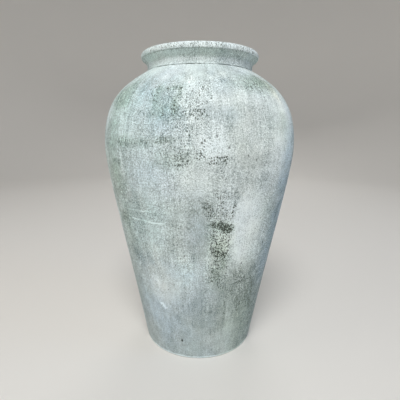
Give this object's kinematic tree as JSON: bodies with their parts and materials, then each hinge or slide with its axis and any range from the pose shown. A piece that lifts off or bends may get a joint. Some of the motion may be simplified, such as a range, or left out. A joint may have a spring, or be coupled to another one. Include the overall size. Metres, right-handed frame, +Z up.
{
  "type": "decorative terracotta jar",
  "caption": "Tall handle-less terracotta jar with a narrow flat foot, high round belly, short neck and rolled lip, for display or dried stems.",
  "frame": {"origin": "centre of the foot, on the surface that the jar stands on", "axes": "+Z up along the jar's axis of revolution; the jar is round, and -Y is the side with the dark worn patch"},
  "size_m": [0.32, 0.32, 0.5],
  "materials": {
    "bare_clay": "matte, worn fired clay",
    "grey_limewash": "matte blue-grey limewash on fired clay, brushed and worn",
    "pale_limewash": "matte pale grey limewash on fired clay, brushed, speckled and pitted"
  },
  "bodies": {
    "root": {"base_slab": "bare_clay", "lower_wall": "grey_limewash", "belly_wall": "pale_limewash", "shoulder": "pale_limewash", "neck_collar": "pale_limewash", "lip_roll": "pale_limewash"}
  },
  "joints": []
}
